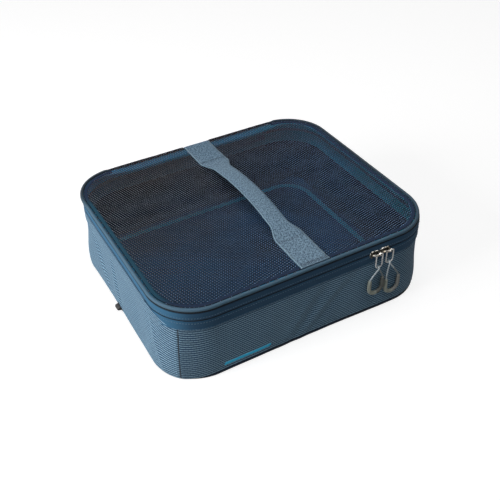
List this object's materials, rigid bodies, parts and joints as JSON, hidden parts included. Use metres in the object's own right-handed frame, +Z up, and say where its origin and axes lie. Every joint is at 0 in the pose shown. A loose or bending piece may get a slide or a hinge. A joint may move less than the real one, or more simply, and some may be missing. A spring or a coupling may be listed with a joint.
{
  "type": "packing cube",
  "caption": "Rectangular zipped packing cube with a see-through mesh lid on a fabric hinge, corded lid edge, sewn-on top carry strap and zipper pulls with moulded loops.",
  "frame": {"origin": "middle of the base, on the ground", "axes": "+X to the right along the front, +Y from the front to the rear hinge, +Z up"},
  "size_m": [0.3497, 0.2994, 0.1138],
  "materials": {
    "base_fabric": "matte dark navy woven",
    "wall_fabric": "blue-grey woven ripstop with a soft sheen",
    "binding": "matte teal tape",
    "zipper_tape": "matte dark navy woven tape",
    "zipper_coil": "satin nylon coil",
    "stud_plastic": "satin moulded",
    "print_ink": "satin screen print",
    "mesh": "open knitted mesh",
    "piping_core": "smooth cord",
    "piping_fabric": "satin woven cover",
    "webbing": "fine twill webbing",
    "thread": "polyester thread",
    "slider_metal": "cast, tumbled and plated",
    "ring_metal": "polished wire",
    "cord": "braided cord",
    "grip_rubber": "matte moulded"
  },
  "bodies": {
    "case": {"base_panel": "base_fabric", "front_wall": "wall_fabric", "left_wall": "wall_fabric", "right_wall": "wall_fabric", "rear_wall": "wall_fabric", "corner_bindings": "binding", "floor_binding": "binding", "wall_top_binding": "binding", "zipper_tape_lower": "zipper_tape", "zipper_coil_lower": "zipper_coil", "zipper_end_tabs": "zipper_tape", "hinge_strip": "zipper_tape", "side_stud": "stud_plastic", "stud_washer": "stud_plastic", "front_stripe": "print_ink"},
    "lid": {"lid_mesh": "mesh", "lid_binding": "binding", "piping_cord": "piping_core", "piping_cover": "piping_fabric", "zipper_tape_upper": "zipper_tape", "zipper_coil_upper": "zipper_coil", "lid_rear_band": "zipper_tape", "strap_end_front": "webbing", "strap_end_rear": "webbing", "strap_bar_tacks": "thread"},
    "handle": {"handle_strap": "webbing"},
    "zip_slider_left": {"slider_left": "slider_metal"},
    "zip_slider_right": {"slider_right": "slider_metal"},
    "pull_ring_left": {"ring_left": "ring_metal"},
    "pull_ring_right": {"ring_right": "ring_metal"},
    "pull_loop_left": {"cord_left": "cord", "grip_left": "grip_rubber"},
    "pull_loop_right": {"cord_right": "cord", "grip_right": "grip_rubber"}
  },
  "joints": [
    {"name": "lid_hinge", "type": "hinge", "parent": "case", "child": "lid", "pos_m": [0, 0.147, 0.086], "axis": [-1, 0, 0], "range_deg": [0, 180]},
    {"name": "handle_lift", "type": "slide", "parent": "lid", "child": "handle", "axis": [0, 0, 1], "range_m": [0, 0.015]},
    {"name": "slider_left_travel", "type": "slide", "parent": "case", "child": "zip_slider_left", "axis": [-1, 0, 0], "range_m": [0, 0.187]},
    {"name": "slider_right_travel", "type": "slide", "parent": "case", "child": "zip_slider_right", "axis": [1, 0, 0], "range_m": [0, 0.015]},
    {"name": "ring_left_swing", "type": "hinge", "parent": "zip_slider_left", "child": "pull_ring_left", "pos_m": [0.085, -0.15, 0.086], "axis": [-1, 0, 0], "range_deg": [0, 120]},
    {"name": "ring_right_swing", "type": "hinge", "parent": "zip_slider_right", "child": "pull_ring_right", "pos_m": [0.0995, -0.15, 0.086], "axis": [-1, 0, 0], "range_deg": [0, 120]},
    {"name": "loop_left_sway", "type": "hinge", "parent": "pull_ring_left", "child": "pull_loop_left", "pos_m": [0.085, -0.15, 0.071], "axis": [0, 1, 0], "range_deg": [0, 35]},
    {"name": "loop_right_sway", "type": "hinge", "parent": "pull_ring_right", "child": "pull_loop_right", "pos_m": [0.0995, -0.15, 0.0737], "axis": [0, -1, 0], "range_deg": [0, 35]}
  ]
}
